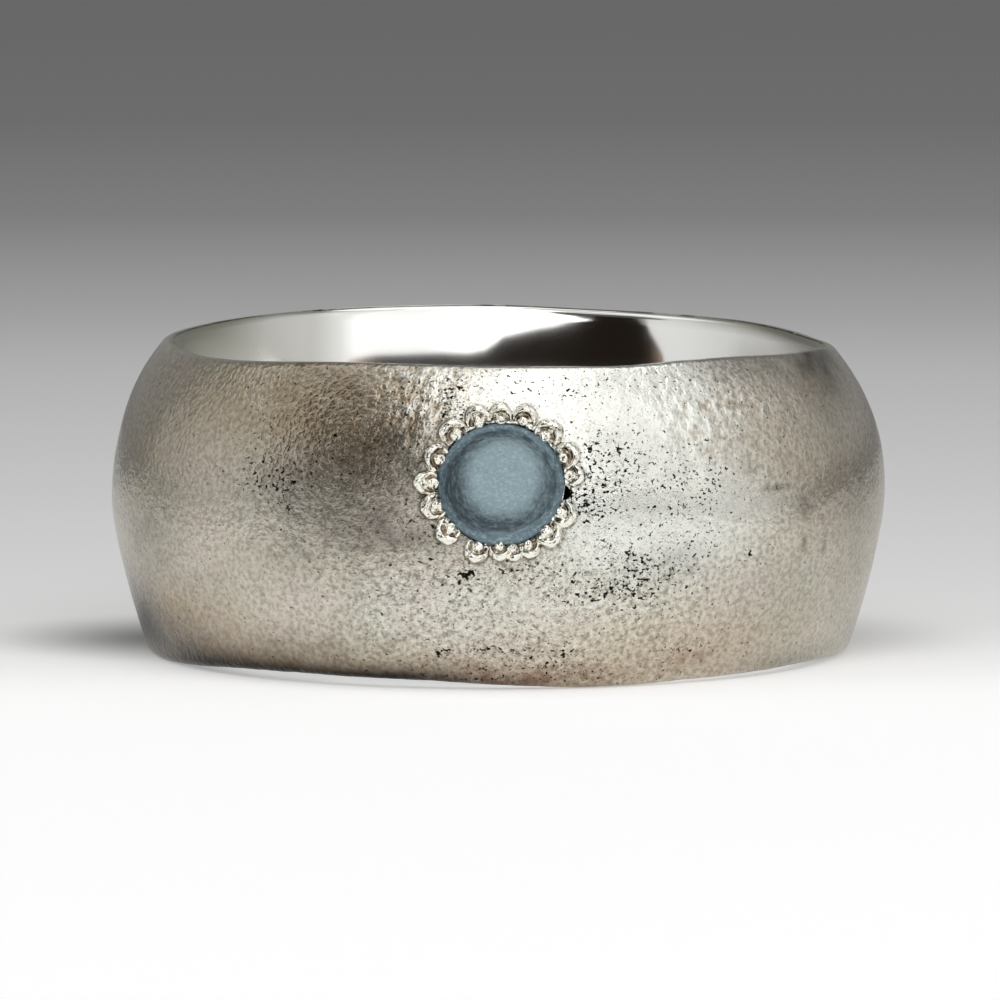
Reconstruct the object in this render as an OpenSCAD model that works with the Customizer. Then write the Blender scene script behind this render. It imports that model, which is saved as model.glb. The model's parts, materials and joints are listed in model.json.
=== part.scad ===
// A wide domed silver ring that lies on its side. One round cabochon of frosted sea glass
// stands in a seat a little above the middle of the band, and a circle of small grains,
// raised from the same silver, holds its edge.
// Z runs along the finger, and the glass faces -Y. The origin is the middle of the finger hole.

/* [Band] */
// Diameter of the finger hole
hole_d = 17.5; // [15:0.5:21]
// Height of the band along the finger
band_h = 8.8; // [8.4:0.1:9.2]
// Thickness of the wall at the band's widest line
wall = 2.25; // [2.15:0.05:2.6]
// Height of the widest line above the middle of the band
widest_z = 0.3; // [0.2:0.05:0.4]
// Radius of the rounder curve, from the top rim to below the widest line
upper_r = 6.25; // [6:0.25:7]
// Angle below the widest line at which the flatter curve takes over
join_a = 12; // [11.5:0.5:13]
// Radius of the flatter curve
lower_r = 21.6; // [20:0.2:24]
// Thickness of the wall at the bottom rim, before its edges are eased
foot_t = 1.16; // [1.1:0.02:1.2]

/* [Rims] */
// Rounding of the outer edge of both rims
outer_round = 0.3; // [0.2:0.05:0.3]
// Rounding of the finger hole's edges
inner_round = 0.35; // [0.2:0.05:0.35]

/* [Sea glass] */
// Diameter of the cabochon
stone_d = 3.44; // [3.2:0.02:3.5]
// Height of its centre above the middle of the band
stone_z = 1.4; // [1.35:0.01:1.5]
// Height of its dome over the silver
stone_rise = 0.45; // [0.3:0.05:0.55]
// Width of the narrow ledge round the dome, which the grains hold down
ledge_w = 0.22; // [0.16:0.01:0.3]
// Depth of the ledge below the silver
ledge_depth = 0.12; // [0.1:0.01:0.14]
// Depth of the flat back below the silver
stone_depth = 1; // [0.8:0.1:1.2]
// Gap between the cabochon and the silver all round it
seat_gap = 0.04; // [0.02:0.01:0.06]

/* [Grains] */
// Diameter of one grain
grain_d = 0.62; // [0.56:0.02:0.62]
// Distance of the grains' centres outside the cabochon's edge
grain_reach = 0.22; // [0.18:0.01:0.26]
// Depth of the grains' centres below the curve of the band
grain_sink = 0.04; // [0.02:0.01:0.06]
// Diameter of the small void beside the glass, where the circle of grains is open
void_d = 0.3; // [0.2:0.05:0.4]

/* [Hidden] */
$fn = 160;

// Angles of the 17 grains round the glass, anticlockwise from +X as seen from outside
grain_angles = [7, 24, 47, 70, 90, 109, 132, 157, 179, 198, 221, 250, 269, 282, 295, 314, 335];
// Angle of the void between the last grain and the first, and its depth
void_angle = -8;
void_depth = 0.7;
// A rounding's circle is this much over size, so that it crosses the curves that it joins
round_over = 1.01;
// How far the flatter curve runs on inside the rounder one
join_lap = 0.15;

hole_r = hole_d / 2;
top_z = band_h / 2;
bottom_z = -band_h / 2;
widest_r = hole_r + wall;
stone_r = stone_d / 2;
grain_circle = stone_r + grain_reach;

// A point of the band's section is [distance from the finger's axis, height]
function toward(angle) = [cos(angle), sin(angle)];

// Centre of a circle of radius r that bulges outwards through the points p, above, and q, below
function arc_centre(p, q, r) =
    let (chord = p - q, back = [-chord[1], chord[0]] / norm(chord))
    (p + q) / 2 + back * sqrt(pow(r, 2) - pow(norm(chord) / 2, 2));

upper_c = [widest_r - upper_r, widest_z];
join_p = upper_c + upper_r * toward(-join_a);
lower_c = arc_centre(join_p, [hole_r + foot_t, bottom_z], lower_r);

// Centre, at the height z, of a rounding inside the circle of radius r about c
function round_centre(c, r, z) = [c[0] + sqrt(pow(r - outer_round, 2) - pow(z - c[1], 2)), z];
top_round = round_centre(upper_c, upper_r, top_z - outer_round);
bottom_round = round_centre(lower_c, lower_r, bottom_z + outer_round);

// The seat's axis is square to the band's surface, at the height of the stone's centre
seat_tilt = asin((stone_z - widest_z) / upper_r);
seat_out = upper_c[0] + upper_r * cos(seat_tilt);

// How far the band falls away from the flat of the seat, at a distance s and an angle a
function surface_drop(s, a) = pow(s, 2) / 2 * (pow(cos(a), 2) / seat_out + pow(sin(a), 2) / upper_r);

// Angle of the line from a curve's centre c to the point p
function angle_to(c, p) = atan2(p[1] - c[1], p[0] - c[0]);

// What a rounding of radius r about p takes off a corner, between two angles from p
module corner_waste(p, r, from, to) {
    side = 2 * r;
    middle = (from + to) / 2;
    tip = side / cos((to - from) / 2);
    difference() {
        polygon([p, p + side * toward(from), p + tip * toward(middle), p + side * toward(to)]);
        translate(p) circle(r = r * round_over);
    }
}

// The section before its four corners are rounded
module sharp_section() {
    intersection() {
        translate([hole_r, bottom_z]) square([2 * wall, band_h]);
        union() {
            translate(upper_c) circle(r = upper_r);
            intersection() {
                translate(lower_c) circle(r = lower_r);
                translate([0, 2 * bottom_z]) square([2 * widest_r, join_p[1] + join_lap - 2 * bottom_z]);
            }
        }
    }
}

module band_section() {
    inside = hole_r + inner_round;
    difference() {
        sharp_section();
        corner_waste(top_round, outer_round, angle_to(upper_c, top_round), 90);
        corner_waste([inside, top_z - inner_round], inner_round, 90, 180);
        corner_waste([inside, bottom_z + inner_round], inner_round, 180, 270);
        corner_waste(bottom_round, outer_round, -90, angle_to(lower_c, bottom_round));
    }
}

// Puts its children on the seat: their Z points out of the band, their Y up along it
module on_seat() {
    translate([0, -seat_out, stone_z]) rotate([90 - seat_tilt, 0, 0]) children();
}

// The cabochon: a round slice with a narrow ledge round its dome
module cabochon() {
    dome_base = stone_r - ledge_w;
    dome_h = stone_rise + ledge_depth;
    dome_r = (pow(dome_base, 2) + pow(dome_h, 2)) / (2 * dome_h);
    rotate_extrude() {
        translate([0, -stone_depth]) square([stone_r, stone_depth - ledge_depth]);
        intersection() {
            translate([0, stone_rise - dome_r]) circle(r = dome_r);
            translate([0, -stone_depth]) square([dome_base, stone_depth + 2 * stone_rise]);
        }
    }
}

// The space drilled for the cabochon: its ledge lies under the grains, and its dome between them
module seat_space() {
    ledge_z = seat_gap - ledge_depth;
    bottom = -stone_depth - seat_gap;
    translate([0, 0, bottom]) cylinder(h = ledge_z - bottom, r = stone_r + seat_gap);
    translate([0, 0, bottom]) cylinder(h = stone_rise - bottom, r = stone_r - ledge_depth);
}

// The grains' poles lie along their circle, clear of the glass and of the curve of the band
module grains() {
    for (a = grain_angles) {
        depth = surface_drop(grain_circle, a) + grain_sink;
        rotate([0, 0, a]) translate([grain_circle, 0, -depth]) rotate([90, 0, 0]) sphere(d = grain_d);
    }
}

module seat_void() {
    rotate([0, 0, void_angle]) translate([stone_r, 0, -void_depth]) cylinder(h = 2 * void_depth, d = void_d);
}

module band() {
    color("silver") difference() {
        union() {
            rotate_extrude() band_section();
            on_seat() grains();
        }
        on_seat() seat_space();
        on_seat() seat_void();
    }
}

module stone() {
    color("lightslategray") on_seat() cabochon();
}

band();
stone();
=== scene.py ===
"""Looks of a wide, domed, sand-textured silver ring with one round cabochon of frosted sea glass.

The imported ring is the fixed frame. Everything here is in its frame and in metres: Z runs along
the finger, the sea glass faces -Y, and the floor is level with the lower rim.
"""

import json
import logging
import math
from collections.abc import Callable, Sequence
from dataclasses import dataclass, field

import bmesh
import bpy
import numpy as np
from mathutils import Matrix, Vector, noise


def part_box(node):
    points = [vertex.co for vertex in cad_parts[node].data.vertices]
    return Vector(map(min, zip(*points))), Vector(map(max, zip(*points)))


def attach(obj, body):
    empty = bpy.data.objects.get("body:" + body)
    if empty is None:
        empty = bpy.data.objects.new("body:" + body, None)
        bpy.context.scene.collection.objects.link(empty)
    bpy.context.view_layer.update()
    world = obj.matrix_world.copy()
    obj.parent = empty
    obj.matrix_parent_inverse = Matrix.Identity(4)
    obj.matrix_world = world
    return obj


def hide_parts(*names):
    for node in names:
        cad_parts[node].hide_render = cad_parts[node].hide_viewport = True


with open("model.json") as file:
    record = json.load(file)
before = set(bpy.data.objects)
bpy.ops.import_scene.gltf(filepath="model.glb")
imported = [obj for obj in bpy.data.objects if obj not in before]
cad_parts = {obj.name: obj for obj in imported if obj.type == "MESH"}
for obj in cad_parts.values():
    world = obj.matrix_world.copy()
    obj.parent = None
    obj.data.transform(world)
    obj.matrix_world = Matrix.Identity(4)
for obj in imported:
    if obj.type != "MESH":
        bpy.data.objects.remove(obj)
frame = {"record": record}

MM = 0.001
BODY = "root"

LOG = logging.getLogger("ring")

Socket = bpy.types.NodeSocket
Colour = tuple[float, float, float]
Stations = tuple[tuple[float, float], ...]
# A grain's middle on the seat, and how far it reaches
Foot = tuple[tuple[float, float], float]
# Where a rise starts and where it ends
Range = tuple[float, float]
# What a value is multiplied by, and what is then added
Line = tuple[float, float]

BLACK: Colour = (0.0, 0.0, 0.0)
# How far a seed moves a noise along each axis
SEED_SHIFT = (1.0, 1.7, 0.3)


def rgba(colour: Colour) -> tuple[float, float, float, float]:
    """The colour as a shader socket takes it."""
    return (*colour, 1.0)


def smoothstep(low: float, high: float, value: np.ndarray) -> np.ndarray:
    """A smooth rise from 0 at low to 1 at high, or a fall where low lies above high."""
    t = np.clip((value - low) / (high - low), 0.0, 1.0)
    return t * t * (3.0 - 2.0 * t)


def round_about(stations: Stations, degrees: np.ndarray) -> np.ndarray:
    """Reads a table of angles and values that runs right round, straight from row to row."""
    angles, values = np.array(stations).T
    return np.interp(degrees, angles, values, period=360.0)


@dataclass(frozen=True)
class Unevenness:
    """Smooth noise on a mesh: its depth, the width of a feature, its seed and how many layers."""

    depth: float
    size: float
    seed: float
    layers: int = 1

    def at(self, points: np.ndarray) -> np.ndarray:
        """The noise at places. Each finer layer is half as wide and half as strong.

        Args:
            points: The places, one row each.

        Returns:
            A number for each place.
        """
        total = np.zeros(len(points))
        x, y, z = (self.seed * share for share in SEED_SHIFT)
        for layer in range(self.layers):
            share = 0.5**layer
            shift = Vector((x, y, z + layer))
            found = [noise.noise(Vector(point) / (self.size * share) + shift) for point in points]
            total += share * np.array(found)
        return self.depth * total

    def where(self, wanted: np.ndarray, points: np.ndarray) -> np.ndarray:
        """The noise at the wanted places, worked out only there, and 0 at the others.

        Args:
            wanted: Which places are wanted.
            points: All places, one row each.

        Returns:
            A number for each place.
        """
        found = np.zeros(len(points))
        found[wanted] = self.at(points[wanted])
        return found


@dataclass(frozen=True)
class Pattern:
    """Noise in a material: the width of a feature, its finer layers, their strength, its twist."""

    size: float
    detail: float = 2.0
    roughness: float = 0.5
    distortion: float = 0.0


class NodeBoard:
    """Adds nodes to a shader or geometry tree and joins their sockets."""

    def __init__(self, tree: bpy.types.NodeTree) -> None:
        """Starts on the tree that the nodes go into."""
        self.tree = tree

    def feed(self, node: bpy.types.Node, inputs: dict[str | int, object]) -> None:
        """Joins a node's sockets to other sockets, or sets them.

        Args:
            node: The node.
            inputs: What each socket, by name or number, is joined to or set to.
        """
        for key, value in inputs.items():
            if isinstance(value, Socket):
                self.tree.links.new(value, node.inputs[key])
            else:
                node.inputs[key].default_value = value

    def add(self, kind: str, inputs: dict[str | int, object] | None = None,
            **settings: object) -> bpy.types.Node:
        """Adds one node.

        Args:
            kind: Blender's name of the node type.
            inputs: What each socket, by name or number, is joined to or set to.
            settings: The node's own settings.

        Returns:
            The node.
        """
        node = self.tree.nodes.new(kind)
        for name, value in settings.items():
            setattr(node, name, value)
        self.feed(node, inputs or {})
        return node

    def math(self, operation: str, *values: object) -> Socket:
        """One operation on numbers or sockets."""
        return self.add("ShaderNodeMath", dict(enumerate(values)), operation=operation).outputs[0]

    def times(self, first: object, second: object) -> Socket:
        """The product of two numbers or sockets."""
        return self.math("MULTIPLY", first, second)

    def line(self, value: object, gain: object, start: object) -> Socket:
        """A value multiplied by a gain, and added to a start."""
        return self.math("MULTIPLY_ADD", value, gain, start)

    def most(self, first: object, second: object) -> Socket:
        """The greater of two numbers or sockets."""
        return self.math("MAXIMUM", first, second)

    def rise(self, value: Socket, low: object, high: object) -> Socket:
        """A smooth rise from 0 at low to 1 at high, or a fall where low lies above high."""
        limits = {"Value": value, "From Min": low, "From Max": high}
        return self.add("ShaderNodeMapRange", limits, interpolation_type="SMOOTHSTEP").outputs[0]

    def blend(self, share: object, first: object, second: object) -> Socket:
        """A colour between two, the second where share is 1."""
        mixed = self.add("ShaderNodeMix", {0: share, 6: first, 7: second}, data_type="RGBA")
        return mixed.outputs[2]

    def vector(self, operation: str, inputs: dict[str | int, object],
               output: int | str = 0) -> Socket:
        """One operation on vectors."""
        return self.add("ShaderNodeVectorMath", inputs, operation=operation).outputs[output]

    def places(self) -> Socket:
        """Each point's place on its object."""
        return self.add("ShaderNodeTexCoord").outputs["Object"]

    def stretched(self, places: Socket, factor: float) -> Socket:
        """Places with their heights multiplied, so that marks lie along the band or stand up it."""
        given = {"Vector": places, "Scale": (1.0, 1.0, factor)}
        return self.add("ShaderNodeMapping", given).outputs[0]

    def speckle(self, places: Socket, pattern: Pattern) -> Socket:
        """Adds a pattern's noise.

        Args:
            places: Where the noise is read.
            pattern: What the noise is like.

        Returns:
            The noise, from about 0 to 1.
        """
        inputs = {"Vector": places, "Scale": 1.0 / pattern.size, "Detail": pattern.detail,
                  "Roughness": pattern.roughness, "Distortion": pattern.distortion}
        return self.add("ShaderNodeTexNoise", inputs).outputs[0]

    def attribute(self, name: str, output: str = "Fac") -> Socket:
        """A number painted on the mesh's points, or a vector."""
        return self.add("ShaderNodeAttribute", attribute_name=name).outputs[output]

    def bumps(self, height: Socket, depth: float) -> Socket:
        """The normals of a relief whose heights from 0 to 1 are as deep as given."""
        relief = {"Height": height, "Distance": depth, "Strength": 1.0}
        return self.add("ShaderNodeBump", relief).outputs[0]


def empty_material(name: str) -> tuple[bpy.types.Material, NodeBoard]:
    """A material without nodes.

    Args:
        name: The material's name.

    Returns:
        The material and the board of its nodes.
    """
    material = bpy.data.materials.new(name)
    material.use_nodes = True
    material.node_tree.nodes.clear()
    return material, NodeBoard(material.node_tree)


def new_material(name: str) -> tuple[bpy.types.Material, NodeBoard, bpy.types.Node]:
    """A material with one Principled shader.

    Args:
        name: The material's name.

    Returns:
        The material, the board of its nodes, and the shader.
    """
    material, board = empty_material(name)
    shader = board.add("ShaderNodeBsdfPrincipled")
    board.add("ShaderNodeOutputMaterial", {"Surface": shader.outputs[0]})
    return material, board, shader


def new_object(name: str, mesh: bpy.types.Mesh, *materials: bpy.types.Material) -> bpy.types.Object:
    """Links a mesh to the scene.

    Args:
        name: The object's name.
        mesh: Its mesh.
        materials: The mesh's materials, in the order of its slots.

    Returns:
        The object, at the origin.
    """
    for material in materials:
        mesh.materials.append(material)
    made = bpy.data.objects.new(name, mesh)
    bpy.context.scene.collection.objects.link(made)
    return made


def mesh_from(name: str, points: np.ndarray, faces: Sequence[Sequence[int]]) -> bpy.types.Mesh:
    """A smooth-shaded mesh.

    Args:
        name: The mesh's name.
        points: Its points, one row each, in metres.
        faces: The numbers of each face's points.

    Returns:
        The mesh.
    """
    mesh = bpy.data.meshes.new(name)
    mesh.from_pydata(points.tolist(), [], [list(face) for face in faces])
    mesh.shade_smooth()
    return mesh


def settled(made: bpy.types.Object) -> bpy.types.Mesh:
    """Takes the plain mesh that an object's modifiers make.

    Args:
        made: The object, which is removed.

    Returns:
        The mesh.
    """
    evaluated = made.evaluated_get(bpy.context.evaluated_depsgraph_get())
    mesh = bpy.data.meshes.new_from_object(evaluated)
    bpy.data.objects.remove(made)
    return mesh


def paint(mesh: bpy.types.Mesh, layers: dict[str, np.ndarray]) -> None:
    """Stores numbers, or rows of three numbers, on a mesh's points.

    Args:
        mesh: The mesh.
        layers: A number, or a row of three, for each point, by the layer's name.
    """
    for name, values in layers.items():
        single = values.ndim == 1
        layer = mesh.attributes.new(name, "FLOAT" if single else "FLOAT_VECTOR", "POINT")
        layer.data.foreach_set("value" if single else "vector", values.astype(np.float32).ravel())


def face_outwards(mesh: bpy.types.Mesh) -> None:
    """Turns a closed mesh's faces to point outwards.

    Args:
        mesh: The mesh.
    """
    work = bmesh.new()
    work.from_mesh(mesh)
    bmesh.ops.recalc_face_normals(work, faces=work.faces)
    if work.calc_volume(signed=True) < 0:
        bmesh.ops.reverse_faces(work, faces=work.faces)
    work.to_mesh(mesh)
    work.free()


def grid_faces(rows: int, columns: int, closed_rows: bool) -> list[tuple[int, int, int, int]]:
    """The four-sided faces between the points of a grid whose columns run round.

    Args:
        rows: How many points each column has.
        columns: How many columns there are.
        closed_rows: Whether the last row joins the first.

    Returns:
        The faces. The points are numbered row by row.
    """
    last = rows if closed_rows else rows - 1
    return [
        (i * columns + j, i * columns + (j + 1) % columns,
         (i + 1) % rows * columns + (j + 1) % columns, (i + 1) % rows * columns + j)
        for i in range(last)
        for j in range(columns)
    ]


def ring_places(distance: np.ndarray, angle: np.ndarray, height: np.ndarray) -> np.ndarray:
    """Places round the ring's axis, one row each, from angles in radians that start at the glass."""
    return np.stack([distance * np.sin(angle), -distance * np.cos(angle), height], axis=1)


# Places on the band


@dataclass(frozen=True)
class Seat:
    """Where the glass sits: a frame whose Z points out of the band and whose Y runs up along it."""

    height: float = 1.4 * MM
    widest_z: float = 0.3 * MM
    upper_r: float = 6.25 * MM
    reach: float = field(default_factory=lambda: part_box("band")[1][0])

    @property
    def tilt(self) -> float:
        """How far the seat's axis is turned up from the horizontal, in radians."""
        return math.asin((self.height - self.widest_z) / self.upper_r)

    @property
    def out(self) -> float:
        """Distance of the seat's middle from the finger's axis."""
        return self.reach - self.upper_r * (1.0 - math.cos(self.tilt))

    @property
    def matrix(self) -> Matrix:
        """The seat's frame.

        Returns:
            A matrix that turns a place on the seat into one in the ring's frame.
        """
        t = self.tilt
        across = Vector((1.0, 0.0, 0.0))
        up = Vector((0.0, math.sin(t), math.cos(t)))
        outwards = Vector((0.0, -math.cos(t), math.sin(t)))
        turned = Matrix((across, up, outwards)).transposed().to_4x4()
        turned.translation = Vector((0.0, -self.out, self.height))
        return turned

    def drop(self, distance: float, angle: float) -> float:
        """How far the band falls away from the flat of the seat.

        Args:
            distance: Distance from the seat's middle.
            angle: Angle round it, in radians.

        Returns:
            The fall, in metres.
        """
        round_way = math.cos(angle) ** 2 / self.out
        up_way = math.sin(angle) ** 2 / self.upper_r
        return distance**2 / 2.0 * (round_way + up_way)

    def place(self, points: np.ndarray) -> np.ndarray:
        """Moves points from the seat's frame to the ring's."""
        turned = np.array(self.matrix)
        return points @ turned[:3, :3].T + turned[:3, 3]

    def locate(self, points: np.ndarray) -> np.ndarray:
        """Moves points from the ring's frame to the seat's."""
        turned = np.array(self.matrix)
        return (points - turned[:3, 3]) @ turned[:3, :3]


@dataclass(frozen=True)
class Spot:
    """A soft patch on the band: an angle from the glass in degrees, a height and reaches in mm."""

    angle: float
    height: float
    round_reach: float
    up_reach: float
    strength: float

    def paint(self, degrees: np.ndarray, heights: np.ndarray, radius: float) -> np.ndarray:
        """The patch's strength at places on the band.

        Args:
            degrees: Angles from the glass.
            heights: Heights in metres.
            radius: Distance from the finger's axis at which the reaches are measured.

        Returns:
            A number for each place.
        """
        apart = (degrees - self.angle + 180.0) % 360.0 - 180.0
        along = np.radians(apart) * radius / (self.round_reach * MM)
        up = (heights - self.height * MM) / (self.up_reach * MM)
        return self.strength * np.exp(-(along**2) - up**2)


def spots(*rows: tuple[float, ...]) -> tuple[Spot, ...]:
    """A table of patches: in each row the angle, the height, the two reaches and the strength."""
    return tuple(Spot(*row) for row in rows)


def painted(patches: Sequence[Spot], degrees: np.ndarray, heights: np.ndarray,
            radius: float) -> np.ndarray:
    """The sum of several patches at places on the band."""
    return sum((patch.paint(degrees, heights, radius) for patch in patches), np.zeros(len(degrees)))


@dataclass(frozen=True)
class RimLine:
    """How far a rim rises, in mm, at angles in degrees from the glass, anticlockwise from above."""

    stations: Stations
    softness: float = 5.0
    reach: int = 15

    def at(self, degrees: np.ndarray) -> np.ndarray:
        """The rise, softened over some degrees.

        Args:
            degrees: Angles from the glass.

        Returns:
            The rise at each, in metres.
        """
        step = np.arange(-180.0, 180.0)
        sharp = round_about(self.stations, step)
        apart = np.arange(-self.reach, self.reach + 1)
        weights = np.exp(-((apart / self.softness) ** 2))
        soft = sum(weight * np.roll(sharp, k) for weight, k in zip(weights, apart)) / weights.sum()
        return np.interp(degrees, step, soft, period=360.0) * MM


# Finishes


@dataclass(frozen=True)
class SandedSilver:
    """Silver with a sandy skin, rubbed clean in places, with pits, tarnish, painted shade and a
    bright hole.
    """

    name: str = "sanded_silver"
    clean: Colour = (0.885, 0.89, 0.825)
    sand_pink: Colour = (0.64, 0.585, 0.51)
    sand_green: Colour = (0.60, 0.578, 0.487)
    hollow: Colour = (0.14, 0.12, 0.095)
    # The brown of tarnish, also used for painted shade
    tarnish_and_shade: Colour = (0.46, 0.365, 0.25)
    rust: Colour = (0.25, 0.13, 0.085)
    pit: Colour = (0.010, 0.009, 0.008)
    inside: Colour = (0.93, 0.925, 0.90)
    olive: Colour = (0.37, 0.365, 0.30)
    roughness: float = 0.23
    polish: float = 0.08
    blunt: float = 0.32

    # The hole's half width, and the shares of it with painted olive shade or a blunted polish
    hole_reach: float = 9.1 * MM
    shade_left: Range = (-0.42, -1.06)
    shade_patch: Range = (-0.47, -0.60)
    patch_strength: float = 0.5
    shade_right: Range = (0.86, 0.99)
    right_strength: float = 0.8
    blunt_sides: Range = (0.66, 0.8)

    # The relief's patterns, their depths in mm, and how they are stretched
    grit: Pattern = Pattern(0.085 * MM, 3.0, 0.65)
    grit_depth: float = 0.045
    lumps: Pattern = Pattern(0.14 * MM, 1.0)
    lump_depth: float = 0.04
    strokes: Pattern = Pattern(0.28 * MM, 2.0, 0.6)
    stroke_depth: float = 0.13
    stroke_slant: float = -0.32
    flatness: float = 1.6
    tallness: float = 0.45
    smoothing: float = 0.7
    least_relief: float = 0.22

    # Black pits, which grow where the band is painted as pitted
    ragged: Pattern = Pattern(0.11 * MM, 2.0, 0.55)
    pit_flatness: float = 1.2
    pit_limit: Line = (-0.165, 0.685)
    pit_edge: float = 0.03

    # Where the skin is rubbed down to clean silver
    clouds: Pattern = Pattern(0.9 * MM, 4.0, 0.62)
    cloud_wear: float = 1.1
    lump_wear: float = 0.8
    stroke_wear: float = 3.2

    # How strong the grain's own light tips and dark hollows are
    grain_strength: Line = (0.69, 0.28)
    grit_share: Line = (0.5, 0.1)
    tips: Range = (0.50, 0.64)
    tip_strength: float = 0.5
    hollows: Range = (0.50, 0.37)
    hollow_wear: Line = (-0.55, 0.75)

    # Flecks, cracks, tarnish that is partly painted shade, rust and the slow turn between the two
    # sand colours
    flecks: Pattern = Pattern(0.075 * MM, 1.0)
    fleck_edge: Range = (0.67, 0.71)
    fleck_wear: Line = (-0.4, 0.75)
    bends: Pattern = Pattern(0.5 * MM, 3.0, 0.68)
    crack_line: Range = (0.016, 0.005)
    crack_cloud: Range = (0.45, 0.62)
    crack_strength: float = 0.85
    brown_cloud: Line = (1.2, 0.35)
    brown_stroke: float = -0.6
    rust_cloud: Range = (0.40, 0.66)
    rust_strength: Line = (0.6, 0.2)
    hues: Pattern = Pattern(2.4 * MM)
    hue_turn: Range = (0.38, 0.62)

    def build(self) -> bpy.types.Material:
        """Builds the nodes.

        Returns:
            The material.
        """
        material, board, shader = new_material(self.name)
        places = board.places()
        flat = board.stretched(places, self.flatness)
        slant = {"Vector": places, "Rotation": (0.0, self.stroke_slant, 0.0)}
        tall = board.stretched(board.add("ShaderNodeMapping", slant).outputs[0], self.tallness)
        polish = board.attribute("polish")
        sanded = board.math("SUBTRACT", 1.0, polish)
        crisp = board.attribute("crisp")
        grain = (board.speckle(flat, self.grit), board.speckle(places, self.lumps),
                 board.speckle(tall, self.strokes))
        colour = self.skin(board, places, flat, grain, crisp)
        colour = board.blend(board.times(self.pits(board, places), sanded), colour, rgba(self.pit))
        # Soot, painted shade and the dark foot lines darken toward the pits' black
        colour = board.blend(board.attribute("grime_and_shade"), colour, rgba(self.pit))
        # The bore's painted olive shade, toward its sides and on its rim
        bore_shade, blunted = self.hole(board, places)
        inside = board.blend(bore_shade, rgba(self.inside), rgba(self.olive))
        shiny = board.line(blunted, self.blunt - self.polish, self.polish)
        rough = board.add("ShaderNodeMix", {0: polish, 2: self.roughness, 3: shiny}).outputs[0]
        height = board.times(self.relief(board, grain, crisp), sanded)
        board.feed(shader, {"Base Color": board.blend(polish, colour, inside), "Roughness": rough,
                            "Metallic": 1.0, "Normal": board.bumps(height, MM)})
        return material

    def relief(self, board: NodeBoard, grain: tuple[Socket, ...], crisp: Socket) -> Socket:
        """How high the skin stands, in mm.

        Args:
            board: The material's nodes.
            grain: The fine grit, the wider lumps and the upright strokes.
            crisp: How strong the grit is.

        Returns:
            The height.
        """
        grit, lumps, strokes = grain
        fine = board.times(grit, board.times(crisp, self.grit_depth))
        fine = board.line(lumps, self.lump_depth, fine)
        smoothed = board.line(board.attribute("clean"), -self.smoothing, 1.0)
        fine = board.times(fine, board.most(smoothed, self.least_relief))
        fine = board.times(fine, board.math("SUBTRACT", 1.0, board.attribute("calm")))
        return board.line(strokes, board.times(board.attribute("lumpy"), self.stroke_depth), fine)

    def hole(self, board: NodeBoard, places: Socket) -> tuple[Socket, Socket]:
        """Darkens the hole's polish to olive as painted shade, and blunts it, on its rim and toward
        its two sides.

        Args:
            board: The material's nodes.
            places: Where each point is.

        Returns:
            How far the hole carries painted shade, and how far it is blunted.
        """
        x = board.add("ShaderNodeSeparateXYZ", {0: places}).outputs[0]
        share = board.math("DIVIDE", x, self.hole_reach)
        patch = board.times(board.rise(share, *self.shade_patch), self.patch_strength)
        left = board.most(board.rise(share, *self.shade_left), patch)
        right = board.times(board.rise(share, *self.shade_right), self.right_strength)
        rim = board.attribute("rim")
        sides = board.rise(board.math("ABSOLUTE", share), *self.blunt_sides)
        return board.most(board.most(left, right), rim), board.most(sides, rim)

    def pits(self, board: NodeBoard, places: Socket) -> Socket:
        """Sets the ragged black pits.

        Args:
            board: The material's nodes.
            places: Where each point is.

        Returns:
            Their strength, from 0 to 1.
        """
        ragged = board.speckle(board.stretched(places, self.pit_flatness), self.ragged)
        limit = board.line(board.attribute("pitting"), *self.pit_limit)
        return board.rise(ragged, limit, board.math("ADD", limit, self.pit_edge))

    def cracks(self, board: NodeBoard, flat: Socket, cloud: Socket) -> Socket:
        """Where thin dark lines wander over the skin, mostly along the band."""
        away = board.math("ABSOLUTE", board.math("SUBTRACT", board.speckle(flat, self.bends), 0.5))
        return board.times(board.rise(away, *self.crack_line), board.rise(cloud, *self.crack_cloud))

    def skin(self, board: NodeBoard, places: Socket, flat: Socket, grain: tuple[Socket, ...],
             crisp: Socket) -> Socket:
        """The silver's colour between its pits.

        Args:
            board: The material's nodes.
            places: Where each point is.
            flat: The same, with heights stretched, so that marks lie along the band.
            grain: The fine grit, the wider lumps and the upright strokes of the skin's relief.
            crisp: How strong the grain is.

        Returns:
            The colour.
        """
        grit, lumps, strokes = grain
        cloud = board.speckle(places, self.clouds)
        tiny = board.speckle(flat, self.flecks)
        hue = board.speckle(places, self.hues)
        stroke = board.times(board.math("SUBTRACT", strokes, 0.5),
                             board.times(board.attribute("lumpy"), self.stroke_wear))
        worn = board.line(board.math("SUBTRACT", cloud, 0.5), self.cloud_wear,
                          board.line(lumps, self.lump_wear, -self.lump_wear / 2.0))
        worn = board.math("ADD", worn, stroke)
        rubbed = board.rise(board.math("ADD", board.attribute("clean"), worn), 0.0, 1.0)
        strong = board.line(crisp, *self.grain_strength)
        shares = {0: board.line(crisp, *self.grit_share), 2: lumps, 3: grit}
        relief = board.add("ShaderNodeMix", shares).outputs[0]
        tip = board.times(board.rise(relief, *self.tips), board.times(strong, self.tip_strength))
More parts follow.
